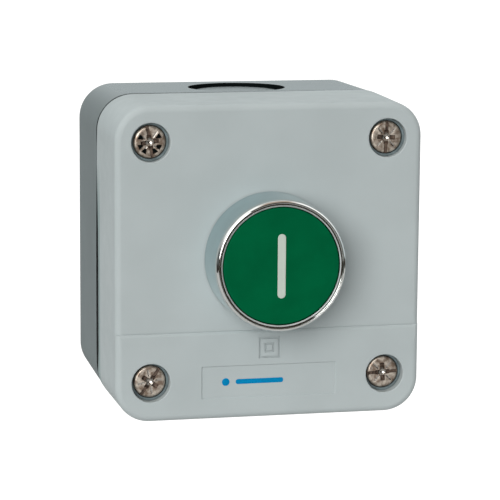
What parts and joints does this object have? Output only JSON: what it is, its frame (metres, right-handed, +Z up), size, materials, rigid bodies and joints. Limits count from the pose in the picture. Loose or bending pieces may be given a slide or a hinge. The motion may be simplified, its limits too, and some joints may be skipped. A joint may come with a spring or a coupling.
{
  "type": "push button control station",
  "caption": "Surface-mounted one-way control station: square plastic case with a 22 mm metal-bezel green push button.",
  "frame": {"origin": "centre of the flat wall face at the back of the case", "axes": "+X to the right seen from the front, +Y into the wall (the way the button is pressed), +Z up"},
  "size_m": [0.068, 0.062, 0.069],
  "materials": {
    "case_grey": "moulded, satin, slightly glossy sides",
    "cover_grey": "moulded, fine satin grain",
    "black_rubber": "matt",
    "nickel_steel": "nickel plated, slightly worn",
    "brass": "turned, knurled",
    "chrome": "polished chrome",
    "green_plastic": "satin",
    "white_plastic": "satin",
    "black_plastic": "satin",
    "zinc_alloy": "die cast",
    "block_grey": "moulded",
    "lid_grey": "moulded",
    "contact_green": "moulded",
    "contact_copper": "punched",
    "spring_steel": "drawn wire"
  },
  "bodies": {
    "case": {"base_enclosure": "case_grey", "front_cover": "cover_grey", "cover_gasket": "black_rubber", "cover_screw_1": "nickel_steel", "cover_screw_2": "nickel_steel", "cover_screw_3": "nickel_steel", "cover_screw_4": "nickel_steel", "brass_insert_1": "brass", "brass_insert_2": "brass", "brass_insert_3": "brass", "brass_insert_4": "brass", "screw_seal_1": "black_rubber", "screw_seal_2": "black_rubber", "screw_seal_3": "black_rubber", "screw_seal_4": "black_rubber", "bezel": "chrome", "bezel_seal": "black_rubber", "lip_seal": "black_rubber", "return_spring": "spring_steel", "fixing_collar": "zinc_alloy", "collar_screw_1": "nickel_steel", "collar_screw_2": "nickel_steel", "contact_body": "block_grey", "contact_lid": "lid_grey", "contact_return_spring": "spring_steel", "fixed_contact_1": "contact_copper", "fixed_contact_2": "contact_copper", "terminal_clamp_1": "nickel_steel", "terminal_clamp_2": "nickel_steel", "terminal_screw_1": "nickel_steel", "terminal_screw_2": "nickel_steel", "block_screw_1": "nickel_steel", "block_screw_2": "nickel_steel"},
    "button": {"push_cap": "green_plastic", "legend_bar": "white_plastic", "pusher": "black_plastic"},
    "plunger": {"contact_plunger": "contact_green"},
    "bridge": {"contact_bridge": "contact_copper", "contact_spring": "spring_steel"}
  },
  "joints": [
    {"name": "button_press", "type": "slide", "parent": "case", "child": "button", "axis": [0, 1, 0], "range_m": [0, 0.003], "stiffness_N_per_m": 1500, "springref_m": -0.004, "deforming": ["return_spring"]},
    {"name": "plunger_slide", "type": "slide", "parent": "case", "child": "plunger", "axis": [0, 1, 0], "range_m": [0, 0.003], "stiffness_N_per_m": 300, "springref_m": -0.003, "deforming": ["contact_return_spring"]},
    {"name": "bridge_slide", "type": "slide", "parent": "case", "child": "bridge", "axis": [0, 1, 0], "range_m": [0, 0.002], "deforming": ["contact_spring"]}
  ],
  "couplings": [
    {"joint": "plunger_slide", "follows": "button_press", "ratio": 1},
    {"joint": "bridge_slide", "follows": "button_press", "ratio": 0.6666}
  ]
}
